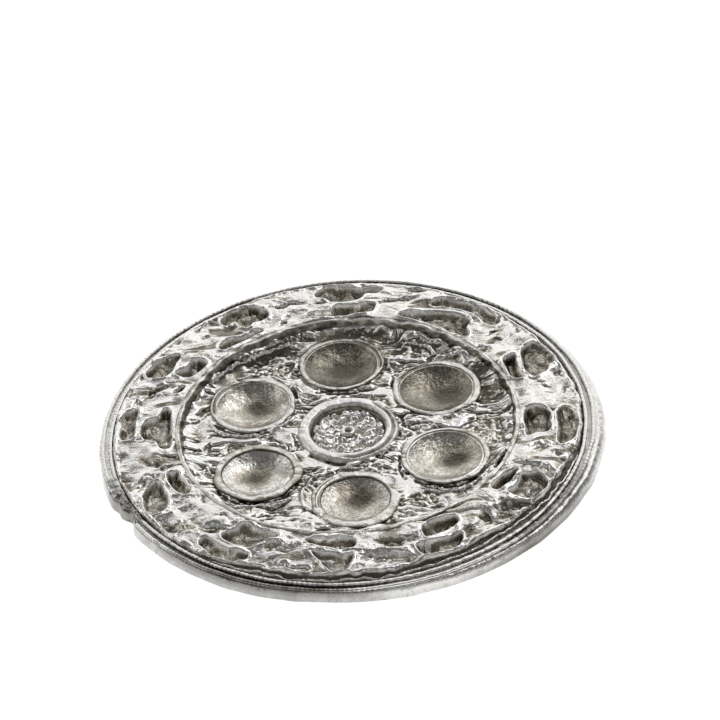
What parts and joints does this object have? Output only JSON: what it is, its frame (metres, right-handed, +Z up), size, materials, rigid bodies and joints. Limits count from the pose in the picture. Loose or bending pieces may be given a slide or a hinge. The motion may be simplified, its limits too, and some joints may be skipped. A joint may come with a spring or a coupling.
{
  "type": "seven-well display dish",
  "caption": "Low round silver-toned display dish with small round wells set round a granulated centre well, a deeply pocketed relief rim and rope-wire edging.",
  "frame": {"origin": "middle of the outline, on the face that the dish rests on", "axes": "+Z up out of the wells; one well lies towards +Y and the chipped stretch of the edge towards -X and -Y"},
  "size_m": [0.0972, 0.0972, 0.005],
  "materials": {
    "body_silver": "cast silver-toned metal, worn bright on high ground with dark brown patina in the pockets",
    "bright_silver": "polished silver-toned wire and collars, bright along their crests",
    "patina_silver": "grainy cast silver-toned metal under a brown-grey patina, burnished on raised grains"
  },
  "bodies": {
    "root": {"base_plate": "body_silver", "side_band": "body_silver", "relief_ring": "body_silver", "border_bezel": "bright_silver", "inner_rope_wire": "bright_silver", "outer_rope_wire": "bright_silver", "centre_collar": "bright_silver", "centre_boss": "bright_silver", "field_plate": "patina_silver", "centre_cup": "patina_silver", "centre_rosette": "patina_silver", "cup_1": "patina_silver", "cup_collar_1": "bright_silver", "cup_2": "patina_silver", "cup_collar_2": "bright_silver", "cup_3": "patina_silver", "cup_collar_3": "bright_silver", "cup_4": "patina_silver", "cup_collar_4": "bright_silver", "cup_5": "patina_silver", "cup_collar_5": "bright_silver", "cup_6": "patina_silver", "cup_collar_6": "bright_silver"}
  },
  "joints": []
}
